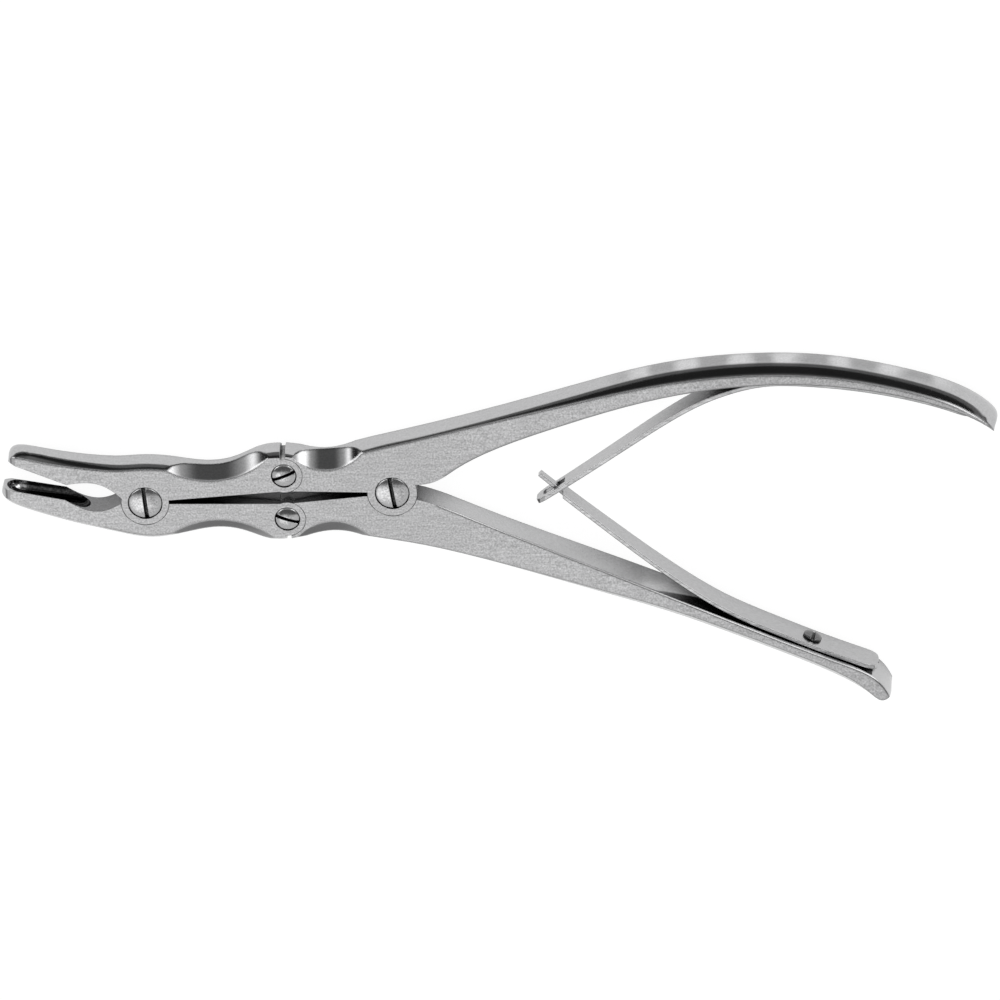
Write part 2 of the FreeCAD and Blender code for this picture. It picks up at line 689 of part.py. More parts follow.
def make_spring(name, points, screw):
    """A leaf spring: a strip along its centre line, full width on the grip and narrow at the crossing."""
    body = new_body(name)
    sketch = new_sketch(body, f"{name}_strip_sketch", offset=MID)
    top, under = leaf_faces(points)
    draw(sketch, [top, [top[-1], under[-1]], under[::-1], [under[0], top[0]]])
    strip = body.newObject("PartDesign::Pad", f"{name}_strip")
    strip.Profile = sketch
    strip.Midplane = True
    strip.setExpression("Length", bound("leaf_width"))
    round_root(body, name, points[0][0])
    place, slope = seat(points, screw)
    turned_cut(body, f"{name}_hole", place, slope, "leaf_screw_shank + bore_gap", "-leaf * 2", "leaf * 2")
    return body


def narrow(body, name, steps):
    """Trim both sides of a leaf to half widths given along X, from its full width to its end."""
    for place, way in (("front", 1), ("back", -1)):
        edge = [(x, f"{MID} + ({half}) * {way}") for x, half in steps]
        beyond = f"{MID} + leaf_width * {way}"
        outside = [(steps[-1][0], beyond), (steps[0][0], beyond)]
        cut_across(body, f"{name}_{place}_trim", polygon(edge + outside))


def make_upper_spring():
    body = make_spring("upper_spring", upper_leaf(), 2)
    end = "cross_x - leaf_past"
    narrow(body, "upper_spring", [
        (between("cross_x", "upper_end", 0.40), "leaf_width / 2"),
        ("cross_x - leaf_past * 0.5", "leaf_tip / 2"),
        ("cross_x - leaf_past * 0.75", "leaf_tip * 0.42"),
        (end, "leaf_tip * 0.15"),
    ])
    slot = [(between("cross_x", end, share), f"{MID} + slot_wide / 2 * {half}")
            for share, half in ((-0.35, 1), (0.50, 1), (0.62, 0.5), (0.62, -0.5), (0.50, -1), (-0.35, -1))]
    cut_across(body, "upper_spring_slot", polygon(slot))
    return body


def make_lower_spring():
    body = make_spring("lower_spring", lower_leaf(), 3)
    narrow(body, "lower_spring", [
        (between("cross_x", "lower_end", 0.58), "leaf_width / 2"),
        ("cross_x + leaf_past * 0.25", "leaf_tip / 2"),
        ("cross_x + leaf_past * 0.25", "tongue / 2"),
        ("cross_x - leaf_past", "tongue * 0.42"),
    ])
    return body


def make_leaf_screw(name, points, index, way):
    """The round-headed screw that holds a spring to its grip, with its axis square to the spring."""
    body = new_body(name)
    sketch = new_sketch(body, f"{name}_profile")
    place, slope = seat(points, index)
    foot, face = "-leaf / 2 - leaf_gap - leaf_screw_depth", "leaf / 2 + lap_gap"
    crown = f"({face} + leaf_screw_dome)"
    rim = between(face, crown, 0.4)

    def at(across, along):
        return across, f"({along}) * {way}"

    draw(sketch, [
        [at("0", foot), at("leaf_screw_shank", foot)],
        [at("leaf_screw_shank", foot), at("leaf_screw_shank", face)],
        [at("leaf_screw_shank", face), at("leaf_screw_head", face)],
        [at("leaf_screw_head", face), at("leaf_screw_head", rim)],
        ("arc", at("leaf_screw_head", rim), at("0", crown)),
        [at("0", crown), at("0", foot)],
    ], [at("0", foot), at("0", crown)])
    turned = body.newObject("PartDesign::Revolution", f"{name}_turned")
    turned.Profile = sketch
    turned.ReferenceAxis = (sketch, ["Axis0"])
    turned.Angle = 360
    slot = new_sketch(body, f"{name}_slot_sketch")
    half, floor = "link_slot / 2", between(face, rim, 0.5)
    above = f"{crown} * 2"
    draw(slot, polygon([at(f"-{half}", floor), at(half, floor), at(half, above), at(f"-{half}", above)]))
    pocket = body.newObject("PartDesign::Pocket", f"{name}_slot")
    pocket.Profile = slot
    pocket.Type = "ThroughAll"
    pocket.Midplane = True
    body.setExpression("Placement.Base.x", bound(place[0]))
    body.setExpression("Placement.Base.y", bound(place[1]))
    body.setExpression("Placement.Base.z", bound(MID))
    body.setExpression("Placement.Rotation.Angle", bound(slope))
    return body


def tap(body, name, points, index, way):
    """The blind threaded hole for a spring's screw in its handle."""
    place, slope = seat(points, index)
    foot = f"(-leaf / 2 - leaf_gap - leaf_screw_depth - tap_past) * {way}"
    turned_cut(body, name, place, slope, "leaf_screw_shank + thread_gap", foot, f"leaf * {way}")


def make_joint_screw(name, centre, head, shank, slot, angle):
    """A slotted cheese-head screw that stands in its joint, flush with the back."""
    body = new_body(name)
    sketch = new_sketch(body, f"{name}_profile", "XZ_Plane")
    floor = "plate - head_depth"
    rim = "plate - head_dome / 2"
    draw(sketch, [
        [("0", "0"), (shank, "0")],
        [(shank, "0"), (shank, floor)],
        [(shank, floor), (head, floor)],
        [(head, floor), (head, rim)],
        ("arc", (head, rim), ("0", "plate + head_dome")),
        [("0", "plate + head_dome"), ("0", "0")],
    ], [("0", "0"), ("0", "plate")])
    turned = body.newObject("PartDesign::Revolution", f"{name}_turned")
    turned.Profile = sketch
    turned.ReferenceAxis = (sketch, ["Axis0"])
    turned.Angle = 360
    groove = new_sketch(body, f"{name}_slot_sketch", offset="plate + head_dome * 2")
    reach, half = f"{head} * 1.2", f"{slot} / 2"
    draw(groove, polygon([
        (f"-{reach}", f"-{half}"), (reach, f"-{half}"), (reach, half), (f"-{reach}", half)]))
    pocket = body.newObject("PartDesign::Pocket", f"{name}_slot")
    pocket.Profile = groove
    pocket.setExpression("Length", bound("slot_depth + head_dome * 2"))
    body.setExpression("Placement.Base.x", bound(centre[0]))
    body.setExpression("Placement.Base.y", bound(centre[1]))
    body.setExpression("Placement.Rotation.Angle", bound(angle) + " * 1 deg")
    return body


made = [
    make_jaw("upper_jaw", 1),
    make_jaw("lower_jaw", -1),
    make_handle("upper_handle", 1, upper_handle_outline),
    make_handle("lower_handle", -1, lower_handle_outline),
    make_upper_spring(),
    make_lower_spring(),
    make_leaf_screw("upper_spring_screw", upper_leaf(), 2, -1),
    make_leaf_screw("lower_spring_screw", lower_leaf(), 3, 1),
    make_joint_screw("jaw_pivot_screw", (JAW_X, "0"),
                     "jaw_head", "jaw_shank", "jaw_slot", "jaw_slot_angle"),
    make_joint_screw("handle_pivot_screw", ("0", "0"),
                     "jaw_head", "jaw_shank", "jaw_slot", "main_slot_angle"),
    make_joint_screw("upper_link_screw", (LINK_X, "link_rise"),
                     "link_head", "link_shank", "link_slot", "upper_slot_angle"),
    make_joint_screw("lower_link_screw", (LINK_X, "-link_rise"),
                     "link_head", "link_shank", "link_slot", "lower_slot_angle"),
]
doc.recompute()

failed = [item.Label for item in doc.Objects if {"Invalid", "Error"} & set(item.State)]
if failed:
    raise RuntimeError("these objects failed: " + ", ".join(failed))
for piece in made:
    if piece.Shape.isNull() or not piece.Shape.isValid():
        raise RuntimeError(f"{piece.Label} has no valid shape")

os.makedirs("parts", exist_ok=True)
for piece in made:
    piece.Shape.exportStep(f"parts/{piece.Label}.step")
    box = piece.Shape.BoundBox
    print(f"{piece.Label}: {len(piece.Shape.Solids)} solids, {piece.Shape.Volume:.1f} mm3, "
          f"X {box.XMin:.1f} to {box.XMax:.1f}, Y {box.YMin:.1f} to {box.YMax:.1f}, "
          f"Z {box.ZMin:.1f} to {box.ZMax:.1f}")
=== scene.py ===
"""Double-action bone rongeur in satin and polished stainless steel, lying on a white table.

Lengths are metres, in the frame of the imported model: X runs towards the handle ends, +Y towards the
bowed handle and +Z towards the slotted screw heads.
"""
import json
import math

import bmesh
import bpy
from mathutils import Matrix, Vector


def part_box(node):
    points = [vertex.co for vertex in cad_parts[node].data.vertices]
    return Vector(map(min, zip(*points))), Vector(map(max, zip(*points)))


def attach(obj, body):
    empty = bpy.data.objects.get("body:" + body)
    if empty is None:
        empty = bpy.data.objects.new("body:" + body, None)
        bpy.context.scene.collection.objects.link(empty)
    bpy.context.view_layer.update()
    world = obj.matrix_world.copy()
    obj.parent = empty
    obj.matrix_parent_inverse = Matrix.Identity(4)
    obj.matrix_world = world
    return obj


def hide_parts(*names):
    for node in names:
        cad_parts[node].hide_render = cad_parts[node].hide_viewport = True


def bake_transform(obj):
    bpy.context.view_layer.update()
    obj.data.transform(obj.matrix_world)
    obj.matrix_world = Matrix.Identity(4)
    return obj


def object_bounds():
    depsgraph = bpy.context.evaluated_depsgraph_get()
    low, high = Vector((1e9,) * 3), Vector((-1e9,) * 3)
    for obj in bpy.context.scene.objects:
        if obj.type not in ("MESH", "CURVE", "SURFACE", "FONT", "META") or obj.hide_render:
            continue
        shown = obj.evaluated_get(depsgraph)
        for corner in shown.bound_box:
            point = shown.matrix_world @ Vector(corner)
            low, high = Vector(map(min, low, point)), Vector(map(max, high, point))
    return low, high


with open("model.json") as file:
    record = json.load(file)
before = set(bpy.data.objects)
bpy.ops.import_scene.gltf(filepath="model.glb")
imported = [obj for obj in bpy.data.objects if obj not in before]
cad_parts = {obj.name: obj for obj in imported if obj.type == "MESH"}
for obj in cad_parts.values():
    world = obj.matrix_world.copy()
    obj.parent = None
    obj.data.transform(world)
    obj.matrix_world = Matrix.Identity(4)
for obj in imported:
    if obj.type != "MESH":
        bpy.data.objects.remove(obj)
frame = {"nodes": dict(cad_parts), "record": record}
cad_box = [list(corner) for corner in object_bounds()]
nodes = frame["nodes"]
scene = bpy.context.scene

MM = 0.001
IMAGE = 1000.0  # pixels along each side of the photograph
PIXEL = 0.1852038 * MM  # size of one pixel at the object
JOINT_PIXEL = (392.2, 493.3)  # where the main joint's screw shows
JOINT_TOP = 6.2 * MM  # height of the joint's front face
TILT = math.radians(26)  # the camera leans this far from straight above
LEAN = math.radians(8)  # direction of that lean, from the picture's upright
ROLL = math.radians(3.424)  # turn of the object in the picture
DISTANCE = 8.0  # a far camera with a long lens
FAR_CLIP = 4 * DISTANCE


# Camera
def camera_axes():
    """The picture's right, up and back directions in the frame of the part."""
    lean = Vector((math.sin(LEAN), math.cos(LEAN)))
    fall = 1 - math.cos(TILT)
    right = Vector((1 - fall * lean.x ** 2, -fall * lean.x * lean.y, -math.sin(TILT) * lean.x))
    up = Vector((-fall * lean.x * lean.y, 1 - fall * lean.y ** 2, -math.sin(TILT) * lean.y))
    back = Vector((math.sin(TILT) * lean.x, math.sin(TILT) * lean.y, math.cos(TILT)))
    turn = Matrix.Rotation(-ROLL, 3, "Z")
    return turn @ right, turn @ up, turn @ back


def add_camera():
    right, up, back = camera_axes()
    aside = (IMAGE / 2 - JOINT_PIXEL[0]) * PIXEL
    above = (JOINT_PIXEL[1] - IMAGE / 2) * PIXEL
    target = Vector((0, 0, JOINT_TOP)) + right * aside + up * above
    data = bpy.data.cameras.new("camera")
    data.lens = data.sensor_width * DISTANCE / (IMAGE * PIXEL)
    data.clip_end = FAR_CLIP
    camera = bpy.data.objects.new("camera", data)
    scene.collection.objects.link(camera)
    turn = Matrix((right, up, back)).transposed().to_4x4()
    camera.matrix_world = Matrix.Translation(target + back * DISTANCE) @ turn
    scene.camera = camera


add_camera()


# Small helpers for node trees
class Tree:
    """Short names for adding and joining the nodes of one material."""

    def __init__(self, tree):
        self.tree = tree
        self.tree.nodes.clear()

    def add(self, kind, values=None, **settings):
        node = self.tree.nodes.new(kind)
        for name, value in settings.items():
            setattr(node, name, value)
        for name, value in (values or {}).items():
            if isinstance(value, bpy.types.NodeSocket):
                self.tree.links.new(value, node.inputs[name])
            else:
                node.inputs[name].default_value = value
        return node

    def math(self, operation, *values):
        node = self.add("ShaderNodeMath", operation=operation)
        for socket, value in zip(node.inputs, values):
            if isinstance(value, bpy.types.NodeSocket):
                self.tree.links.new(value, socket)
            else:
                socket.default_value = value
        return node.outputs[0]

    def mix(self, share, first, second):
        node = self.add("ShaderNodeMixShader")
        for socket, value in zip(node.inputs, (share, first, second)):
            self.tree.links.new(value, socket)
        return node.outputs[0]

    def span(self, value, low, high, to_low=0.0, to_high=1.0):
        """The value mapped from one range to another, with soft ends."""
        node = self.add("ShaderNodeMapRange", interpolation_type="SMOOTHSTEP")
        for name, item in (("Value", value), ("From Min", low), ("From Max", high),
                           ("To Min", to_low), ("To Max", to_high)):
            if isinstance(item, bpy.types.NodeSocket):
                self.tree.links.new(item, node.inputs[name])
            else:
                node.inputs[name].default_value = item
        return node.outputs["Result"]

    def band(self, value, low, high, fade, level=1.0):
        """The level between low and high, fading to 0 at both."""
        rising = self.span(value, low, low + fade)
        return self.math("MULTIPLY", rising, self.span(value, high - fade, high, level, 0.0))


def grey(level):
    return (level, level, level, 1.0)


# World: white where the camera looks, and a pale studio with cards that the metal mirrors
STUDIO = 0.80
LOW_CARD = dict(top=18, side=62, fade=8, dark=0.97)  # degrees up and to each side of +Y, behind the object
HIGH_CARD = dict(top=58, side=42, fade=28, dark=0.84)
FRONT_CARD = dict(top=18, side=190, fade=10, dark=0.45)
TOP_EDGE = 6  # degrees over which the upper edge of a card fades
TABLE_LINE = (-4, 0)  # degrees up between which the cards begin
TOP_CARD = dict(front=-15, back=15, fade=6, dark=0.85)  # a strip overhead, by its lean towards +Y
SIDE_LAMPS = dict(top=66, foot=8, inner=32, outer=78, fade=12, bright=1.6)
TURN = 6  # degrees that all this is turned towards -X


def make_world():
    world = bpy.data.worlds.new("studio")
    world.use_nodes = True
    scene.world = world
    t = Tree(world.node_tree)
    direction = t.add("ShaderNodeTexCoord").outputs["Generated"]
    parts = t.add("ShaderNodeSeparateXYZ", {"Vector": direction}).outputs
    rise = t.math("DEGREES", t.math("ARCSINE", parts["Z"]))
    azimuth = t.math("DEGREES", t.math("ARCTAN2", parts["X"], parts["Y"]))
    aside = t.math("ABSOLUTE", t.math("ADD", azimuth, TURN))
    over = t.math("DEGREES", t.math("ARCTAN2", parts["Y"], parts["Z"]))

    def card(top, side, fade, dark):
        height = t.span(rise, top - TOP_EDGE, top, dark, 0.0)
        width = t.span(aside, side - fade, side, 1.0, 0.0)
        return t.math("MULTIPLY", height, width)

    dark = t.math("MAXIMUM", card(**LOW_CARD), card(**HIGH_CARD))
    dark = t.math("MAXIMUM", dark, card(**FRONT_CARD))
    dark = t.math("MULTIPLY", dark, t.span(rise, *TABLE_LINE))
    strip = t.band(over, TOP_CARD["front"], TOP_CARD["back"], TOP_CARD["fade"], TOP_CARD["dark"])
    dark = t.math("MAXIMUM", dark, strip)
    across = t.band(aside, SIDE_LAMPS["inner"], SIDE_LAMPS["outer"], SIDE_LAMPS["fade"])
    upward = t.band(rise, SIDE_LAMPS["foot"], SIDE_LAMPS["top"], SIDE_LAMPS["fade"])
    lamp = t.math("MULTIPLY", across, upward)
    bright = t.math("ADD", STUDIO, t.math("MULTIPLY", lamp, SIDE_LAMPS["bright"]))
    level = t.math("MULTIPLY", t.math("SUBTRACT", 1.0, dark), bright)
    studio = t.add("ShaderNodeBackground", {"Strength": level})
    white = t.add("ShaderNodeBackground", {"Strength": 1.0})
    seen = t.add("ShaderNodeLightPath").outputs["Is Camera Ray"]
    mixed = t.mix(seen, studio.outputs[0], white.outputs[0])
    t.add("ShaderNodeOutputWorld", {"Surface": mixed})


KEY_PLACE = (-0.25, -0.45, 0.9)
KEY_AIM = (0.02, 0, 0)
KEY_SIZE = 0.5
KEY_WATTS = 0.4


def add_key():
    data = bpy.data.lights.new("key", "AREA")
    data.shape = "DISK"
    data.size = KEY_SIZE
    data.energy = KEY_WATTS
    light = bpy.data.objects.new("key", data)
    light.location = KEY_PLACE
    light.rotation_mode = "QUATERNION"
    light.rotation_quaternion = (Vector(KEY_PLACE) - Vector(KEY_AIM)).to_track_quat("Z", "Y")
    scene.collection.objects.link(light)


# Floor: white paper that keeps the shadow; as the metal mirrors it, painted shade darkens it in the narrow
# gaps of the instrument and in grey spots, and a painted dark reflection lies behind the object
FLOOR_SIZE = 6.0
FLOOR_DROP = 0.02 * MM
PAPER = 0.92
GLOW = 1.16  # strength of the paper's own white, over 1 so that it clears to plain white
MIRRORED_GLOW = 0.95  # the same as the metal mirrors it
FAR_EDGE = 44 * MM  # behind the object the paper as the metal mirrors it ends here, in a painted dark reflection
FAR_FADE = 16 * MM
FAR_LEVEL = 0.03  # share of the paper's light left in that painted dark reflection
FRONT_SPOTS = ((-33.0, -24.0), (-11.7, -24.0))  # mm, spots of painted grey shade on the paper as the metal mirrors it, before the hollows of the lower levers
SPOT_CORE = 2 * MM
SPOT_REACH = 15 * MM
SPOT_LEVEL = 0.16
GLOW_SHARE = 0.8
SHADE_REACH = 9 * MM
SHADE_SKY = (0.2, 0.55)  # share of open sky at which the mirrored paper is painted black, and at which it is full
SHADE_SAMPLES = 6
MIX_SHARE, MIX_FIRST, MIX_SECOND = 0, 2, 3  # the mix node's sockets for numbers


def make_floor():
    mesh = bpy.data.meshes.new("table")
    bm = bmesh.new()
    bmesh.ops.create_grid(bm, x_segments=1, y_segments=1, size=FLOOR_SIZE)
    bm.to_mesh(mesh)
    bm.free()
    floor = bpy.data.objects.new("table", mesh)
    floor.location.z = cad_box[0][2] - FLOOR_DROP
    scene.collection.objects.link(floor)
    material = bpy.data.materials.new("white_table")
    material.use_nodes = True
    t = Tree(material.node_tree)
    paper = t.add("ShaderNodeBsdfDiffuse", {"Color": grey(PAPER)})
    path = t.add("ShaderNodeLightPath").outputs
    occlusion = t.add("ShaderNodeAmbientOcclusion", {"Distance": SHADE_REACH}, samples=SHADE_SAMPLES)
    mirrored = t.math("MAXIMUM", path["Is Glossy Ray"], path["Is Transmission Ray"])
    ground = t.add("ShaderNodeSeparateXYZ", {"Vector": t.add("ShaderNodeTexCoord").outputs["Object"]}).outputs
    # Painted shade: the paper as the metal mirrors it goes dark where little open sky reaches it, in the gaps
    # under and between the parts
    shade = t.math("MULTIPLY", t.span(occlusion.outputs["AO"], *SHADE_SKY), MIRRORED_GLOW)
    # Painted dark reflection: behind the object the mirrored paper fades to dark
    shade = t.math("MULTIPLY", shade, t.span(ground["Y"], FAR_EDGE, FAR_EDGE + FAR_FADE, 1.0, FAR_LEVEL))
    # Painted shade: grey spots in the mirrored paper, darkening the hollows of the lower levers
    for x, y in FRONT_SPOTS:
        place = t.add("ShaderNodeCombineXYZ", {"X": ground["X"], "Y": ground["Y"]}).outputs[0]
        away = t.add("ShaderNodeVectorMath", {0: place, 1: (x * MM, y * MM, 0)}, operation="DISTANCE")
        spot = t.span(away.outputs["Value"], SPOT_CORE, SPOT_REACH, SPOT_LEVEL, 1.0)
        shade = t.math("MULTIPLY", shade, spot)
    levels = {MIX_SHARE: path["Is Camera Ray"], MIX_FIRST: shade, MIX_SECOND: GLOW}
    strength = t.add("ShaderNodeMix", levels).outputs[0]
    glow = t.add("ShaderNodeEmission", {"Strength": strength})
    seen = t.math("MAXIMUM", path["Is Camera Ray"], mirrored)
    mixed = t.mix(t.math("MULTIPLY", seen, GLOW_SHARE), paper.outputs[0], glow.outputs[0])
    t.add("ShaderNodeOutputMaterial", {"Surface": mixed})
    mesh.materials.append(material)


make_world()
make_floor()
add_key()


# Steel
# The four joints in mm: X, Y, how far their edges are only finely broken, and the radius of the screw's head
PIVOTS = ((-46.0, 0.0, 5.2, 3.1), (0.0, 0.0, 5.4, 3.1), (-19.85, 4.43, 4.2, 2.25), (-19.85, -4.43, 4.2, 2.25))
JOINT_FADE = 1.0  # mm from there to where the edges are broadly rounded
HEAD_RIM = (0.75, 0.35)  # mm inside the rim of a head where its rounding starts, and over which it grows
FINE_EDGE = 0.12 * MM  # rounding of the edges at the joints, in the slit and round the cups
LEVER_EDGE = 0.75 * MM  # rounding of the levers' outer edges
SCREW_EDGE = 0.5 * MM
LEAF_EDGE = 0.32 * MM
SLIT = 2.5 * MM  # on each side of the centre line, edges this near stay fine
SLIT_FADE = 1.0 * MM
JAW_HEEL = -50 * MM  # past this the fine edges of the jaws draw away from the centre line
JAW_SLOPE = 0.33


def from_pivots(t, place, reaches, step):
    """0 within each reach of its pivot, rising to 1 a step further out, all multiplied."""
    flat = t.add("ShaderNodeVectorMath", {0: place, 1: (1, 1, 0)}, operation="MULTIPLY").outputs[0]
    clear = None
    for (x, y, _, _), reach in zip(PIVOTS, reaches):
        away = t.add("ShaderNodeVectorMath", {0: flat, 1: (x * MM, y * MM, 0)}, operation="DISTANCE")
        free = t.span(away.outputs["Value"], reach * MM, (reach + step) * MM)
        clear = free if clear is None else t.math("MULTIPLY", clear, free)
    return clear


def lever_rounding(t, place, parts):
    """Broad on the outer edges of the levers, fine at the joints, in the slit and round the cups."""
    past_heel = t.math("MAXIMUM", t.math("SUBTRACT", JAW_HEEL, parts["X"]), 0.0)
    inner = t.math("MULTIPLY_ADD", past_heel, JAW_SLOPE, SLIT)
    outside = t.span(t.math("SUBTRACT", t.math("ABSOLUTE", parts["Y"]), inner), 0.0, SLIT_FADE)
    clear = from_pivots(t, place, [reach for _, _, reach, _ in PIVOTS], JOINT_FADE)
    return t.span(t.math("MULTIPLY", outside, clear), 0.0, 1.0, FINE_EDGE, LEVER_EDGE)


def screw_rounding(t, place, parts):
    """Broad at the rim of a head, fine at its slot."""
    inset, step = HEAD_RIM
    rim = from_pivots(t, place, [head - inset for _, _, _, head in PIVOTS], step)
    return t.span(rim, 0.0, 1.0, FINE_EDGE, SCREW_EDGE)


# Painted shade in the recesses: share of open sky at which a recess is painted black, and at which it is as
# light as the rest
GAP_SKY = (0.22, 0.64)
CUP_SKY = 0.20  # both are this much higher in the cups of the jaws
CUP_HEEL = (-59.5 * MM, -57 * MM)
GAP_LEVEL = 0.04
SLOT_SKY = (0.50, 0.88)
SLOT_LEVEL = 0.02


def painted_gap_and_cup_shade(t, sky, parts):
    """Painted shade in the recesses: a narrow gap is painted dark, and so are the deep cups of the jaws."""
    cup = t.span(parts["X"], *CUP_HEEL, 1.0, 0.0)
    low, high = (t.math("MULTIPLY_ADD", cup, CUP_SKY, limit) for limit in GAP_SKY)
    return t.span(sky, low, high, GAP_LEVEL, 1.0)


# Painted shade in the slots of the screw heads, where little open sky reaches
def painted_slot_shade(t, sky, parts):
    return t.span(sky, *SLOT_SKY, SLOT_LEVEL, 1.0)


FLAT = (0.972, 0.996)  # how upright a face's normal is, from rounded to flat
SPECKLE = {"Scale": 2900.0, "Detail": 2.0}
STREAKS = {"Scale": 2600.0, "Detail": 3.0}
CLOUDS = {"Scale": 120.0, "Detail": 5.0}
WAVES = {"Scale": 170.0, "Detail": 1.0}
STREAK_STRETCH = (0.08, 1.0, 1.0)
GRAIN_TONE = 1.15
CLOUD_TONE = 0.12
ROUND_TONE = 0.25  # share of the tone that is left on the polished backs
CLOUD_ROUGHNESS = 0.08
BLUE = 1.01
GRAIN_BUMP = 0.35
RIPPLE = 0.012 * MM  # depth of the polisher's slow waves
TIP_FADE = 2.5 * MM
TIP_PAINTED_HIGHLIGHT = 10.0  # how many times lighter the far end of a cup is, a painted highlight
SAMPLES = 8


def steel(name, colour, satin, polish, grain, brushed, rounding, recess, sky_reach, grip_highlights=False, tip=None):
    """Stainless steel: satin on the flat faces, polished where it is rounded, with painted shade in its
    recesses.
    """
    material = bpy.data.materials.new(name)
    material.use_nodes = True
    t = Tree(material.node_tree)
    place = t.add("ShaderNodeTexCoord").outputs["Object"]
    parts = t.add("ShaderNodeSeparateXYZ", {"Vector": place}).outputs
    radius = rounding(t, place, parts) if callable(rounding) else rounding
    rounded = t.add("ShaderNodeBevel", {"Radius": radius}, samples=SAMPLES).outputs["Normal"]
    facing = t.add("ShaderNodeSeparateXYZ", {"Vector": rounded}).outputs
    flat = t.span(t.math("ABSOLUTE", facing["Z"]), *FLAT)

    # Blasted grain, streaks left by the belt, and the cloudy tone of handled metal
    stretched = t.add("ShaderNodeMapping", {"Vector": place, "Scale": STREAK_STRETCH}).outputs[0]
    speckle = t.add("ShaderNodeTexNoise", {"Vector": place, **SPECKLE}).outputs["Fac"]
    streaks = t.add("ShaderNodeTexNoise", {"Vector": stretched, **STREAKS}).outputs["Fac"]
    clouds = t.add("ShaderNodeTexNoise", {"Vector": place, **CLOUDS}).outputs["Fac"]
    waves = t.add("ShaderNodeTexNoise", {"Vector": place, **WAVES}).outputs["Fac"]
    texture = t.math("ADD", t.math("MULTIPLY", speckle, 1 - brushed), t.math("MULTIPLY", streaks, brushed))
    cloudy = t.math("SUBTRACT", clouds, 0.5)
    tone = t.math("ADD", t.math("MULTIPLY", t.math("SUBTRACT", texture, 0.5), GRAIN_TONE),
                  t.math("MULTIPLY", cloudy, CLOUD_TONE))
    tone = t.math("MULTIPLY", tone, t.span(flat, 0.0, 1.0, ROUND_TONE, 1.0))
    shade = t.math("ADD", colour, tone)
    # Painted highlights and shade on the grip's back
    if grip_highlights:
        shade = t.math("MULTIPLY", shade, painted_grip_highlights(t, parts["X"], facing["Y"], clouds))
    # Painted highlight: the far end of a cup is lighter
    if tip:
        shade = t.math("MULTIPLY", shade, t.span(parts["X"], tip - TIP_FADE, tip, TIP_PAINTED_HIGHLIGHT, 1.0))
    # Painted shade: the colour goes dark where little open sky reaches a recess
    sky = t.add("ShaderNodeAmbientOcclusion", {"Distance": sky_reach}, samples=SAMPLES).outputs["AO"]
    shade = t.math("MULTIPLY", shade, recess(t, sky, parts))
    blue = t.math("MULTIPLY", shade, BLUE)
    tint = t.add("ShaderNodeCombineColor", {"Red": shade, "Green": shade, "Blue": blue})
    rough = t.math("ADD", t.span(flat, 0.0, 1.0, polish, satin), t.math("MULTIPLY", cloudy, CLOUD_ROUGHNESS))
    slow = t.add("ShaderNodeBump", {"Height": waves, "Strength": 1.0, "Distance": RIPPLE, "Normal": rounded})
    bump = t.add("ShaderNodeBump", {
        "Height": texture, "Strength": GRAIN_BUMP, "Distance": t.math("MULTIPLY", flat, grain * MM),
        "Normal": slow.outputs["Normal"]})
    shader = t.add("ShaderNodeBsdfPrincipled", {
        "Base Color": tint.outputs[0], "Metallic": 1.0, "Roughness": rough, "Normal": bump.outputs["Normal"]})
    t.add("ShaderNodeOutputMaterial", {"Surface": shader.outputs[0]})
    return material


# Painted highlights and shade along the grip's back
PATCH_SPACING = 9.3 * MM
PATCH_WANDER = 6 * MM
PATCH_SHIFT = -1.5 * MM
PATCH_WAVE = (-0.7, 1.0)  # the part of the wave that goes from the darkest to the lightest
PATCH_START = (38 * MM, 50 * MM)
PATCH_END = (100 * MM, 110 * MM)
PATCH_FACING = (0.80, 0.96)  # how far a face's normal points towards +Y
PATCH_TONE = 0.95
PATCH_DEPTH = 0.26


def painted_grip_highlights(t, along, up, clouds):
    """Painted highlights and shade: lighter and darker patches, evenly spaced along the grip's back where its
    normal points towards +Y.
    """
    shifted = t.math("ADD", along, t.math("MULTIPLY_ADD", clouds, PATCH_WANDER, PATCH_SHIFT))
    wave = t.math("SINE", t.math("MULTIPLY", shifted, 2 * math.pi / PATCH_SPACING))
    wave = t.span(wave, *PATCH_WAVE, -1.0, 1.0)
    reach = t.math("MULTIPLY", t.span(along, *PATCH_START), t.span(along, *PATCH_END, 1.0, 0.0))
    reach = t.math("MULTIPLY", reach, t.span(up, *PATCH_FACING))
    return t.math("ADD", PATCH_TONE, t.math("MULTIPLY", t.math("MULTIPLY", wave, reach), PATCH_DEPTH))


DEEP = 3.0 * MM  # how far the painted shade in the recesses of levers and leaves looks for sky
FINE = 1.2 * MM  # the same for the slots of the screws
CUP_PAINTED_HIGHLIGHT = -67.5 * MM  # past this the cups are lighter, a painted highlight
steels = {
    "forged_steel": steel("forged_steel", colour=0.60, satin=0.36, polish=0.09, grain=0.012, brushed=0.3,
                          rounding=lever_rounding, recess=painted_gap_and_cup_shade, sky_reach=DEEP, grip_highlights=True),
    "spring_steel": steel("spring_steel", colour=0.54, satin=0.28, polish=0.22, grain=0.008, brushed=0.7,
                          rounding=LEAF_EDGE, recess=painted_gap_and_cup_shade, sky_reach=DEEP),
    "screw_steel": steel("screw_steel", colour=0.62, satin=0.22, polish=0.13, grain=0.006, brushed=0.2,
                         rounding=screw_rounding, recess=painted_slot_shade, sky_reach=FINE),
}
# A darker steel for the screws of the springs
dark_screw = steel("blackened_screw", colour=0.20, satin=0.24, polish=0.20, grain=0.006, brushed=0.2,
                   rounding=screw_rounding, recess=painted_slot_shade, sky_reach=FINE)
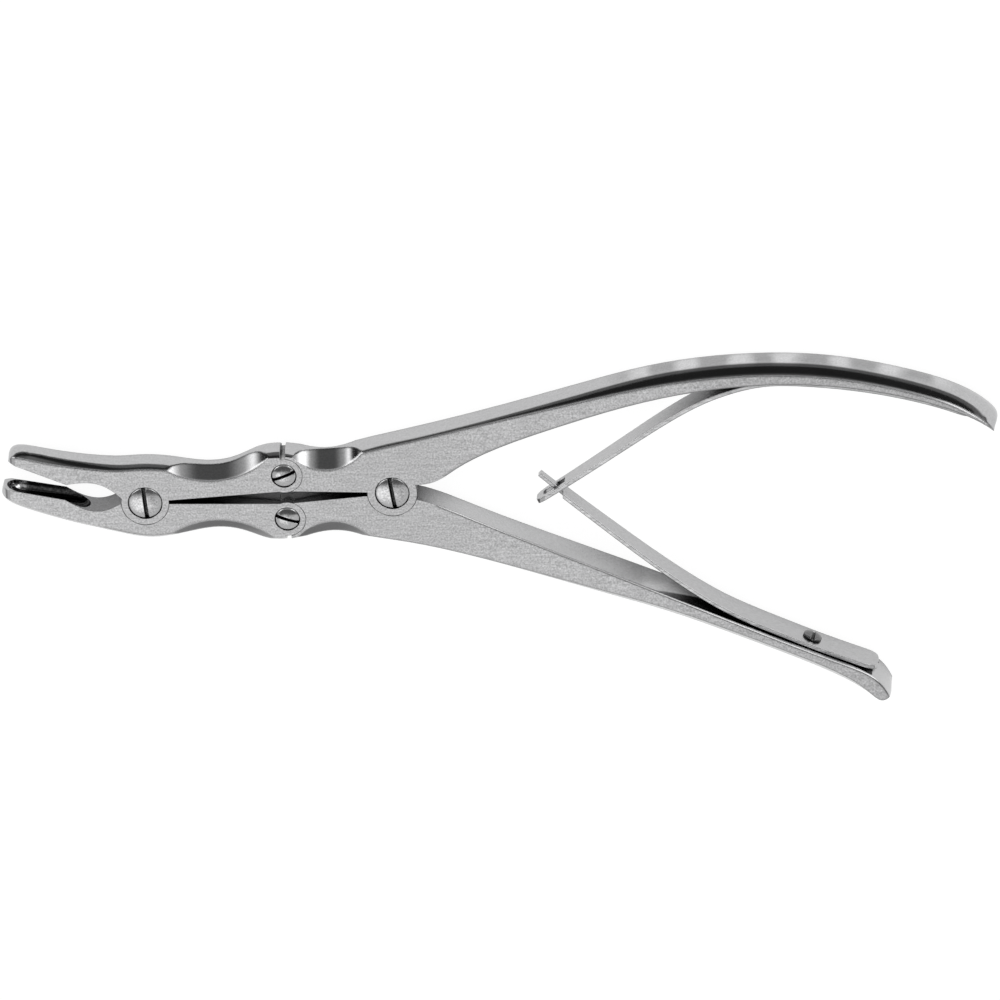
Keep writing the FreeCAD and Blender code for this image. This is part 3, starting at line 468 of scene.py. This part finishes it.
# The cups of the jaws: near-black painted shade, with a painted highlight towards the far end
painted_shade_cup = steel("cup_with_painted_shade_and_highlight", colour=0.06, satin=0.12, polish=0.12, grain=0.003, brushed=0.2,
                 rounding=FINE_EDGE, recess=painted_gap_and_cup_shade, sky_reach=DEEP, tip=CUP_PAINTED_HIGHLIGHT)
slots = {item["node"]: item["material_slot"] for item in frame["record"]["subparts"]}
bodies = frame["record"]["behaviour"]["bodies"]
carriers = {node: body for body, members in bodies.items() for node in members}


# Each piece, shaded smoothly over its rounded faces and crisply at its edges
STRIP = 1.6 * MM  # the ground strips of the rounded backs are narrower than this
STRIP_CREASE = math.radians(28)
CUP_START = -55 * MM  # the cups of the jaws lie beyond this
CUP_FACE = (1.9 * MM, 5.4 * MM)  # least and greatest height of one of its surfaces
CREASE = math.radians(4)
LYING = 0.99  # how upright the normal of a flat face is
WELD = 0.002 * MM


def number_faces(bm):
    """Numbers the faces that were one surface of the part, below zero where it is a strip of a rounded back.

    The faces of the cups take the material with painted shade and a painted highlight at the far end.
    """
    layer = bm.faces.layers.int.new("surface")
    number = 0
    for first in bm.faces:
        if first[layer]:
            continue
        number += 1
        surface = []
        waiting = [first]
        first[layer] = number
        while waiting:
            face = waiting.pop()
            surface.append(face)
            for near in {other for vert in face.verts for other in vert.link_faces if not other[layer]}:
                near[layer] = number
                waiting.append(near)
        heights = [vert.co.z for face in surface for vert in face.verts]
        tall = max(heights) - min(heights)
        lying = max(abs(face.normal.z) for face in surface) > LYING
        if not lying and tall < STRIP:
            for face in surface:
                face[layer] = -number
        farthest = max(vert.co.x for face in surface for vert in face.verts)
        if CUP_FACE[0] < tall < CUP_FACE[1] and farthest < CUP_START:
            for face in surface:
                face.material_index = 1
    return layer


def is_crease(edge, layer):
    if len(edge.link_faces) != 2:
        return True
    first, second = (face[layer] for face in edge.link_faces)
    if first == second:
        return False
    lying = any(abs(face.normal.z) > LYING for face in edge.link_faces)
    limit = STRIP_CREASE if first < 0 and second < 0 else CREASE
    return lying or edge.calc_face_angle(0) > limit


def finished_mesh(name, cuts=()):
    """The node's mesh in one skin, cut across at each X in cuts, with creases only at real edges."""
    mesh = nodes[name].data.copy()
    mesh.name = f"{name}_skin"
    if "custom_normal" in mesh.attributes:
        mesh.attributes.remove(mesh.attributes["custom_normal"])
    mesh.materials.clear()
    mesh.materials.append(dark_screw if name.endswith("spring_screw") else steels[slots[name]])
    if name.endswith("jaw"):
        mesh.materials.append(painted_shade_cup)
    bm = bmesh.new()
    bm.from_mesh(mesh)
    layer = number_faces(bm)
    bmesh.ops.remove_doubles(bm, verts=bm.verts, dist=WELD)
    for x in cuts:
        geometry = bm.verts[:] + bm.edges[:] + bm.faces[:]
        bmesh.ops.bisect_plane(bm, geom=geometry, plane_co=(x, 0, 0), plane_no=(1, 0, 0))
    bm.normal_update()
    for face in bm.faces:
        face.smooth = True
    for edge in bm.edges:
        edge.smooth = not is_crease(edge, layer)
    bm.faces.layers.int.remove(layer)
    bm.to_mesh(mesh)
    bm.free()
    return mesh


def finished_piece(name, cuts=()):
    piece = bpy.data.objects.new(f"{name}_finished", finished_mesh(name, cuts))
    scene.collection.objects.link(piece)
    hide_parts(name)
    return piece


for name in nodes:
    if not name.endswith("_spring"):
        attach(finished_piece(name), carriers[name])


# Leaf springs, each cut into fine slices along its length
LEAF_STEP = 1.0 * MM


def bending_leaf(name):
    """A finely divided leaf, cut across every LEAF_STEP along X, with its transform baked into its mesh."""
    low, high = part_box(name)
    count = int((high.x - low.x) / LEAF_STEP)
    leaf = finished_piece(name, [low.x + (high.x - low.x) * step / count for step in range(1, count)])
    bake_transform(leaf)


bending_leaf("upper_spring")
bending_leaf("lower_spring")

scene.view_settings.view_transform = "Standard"
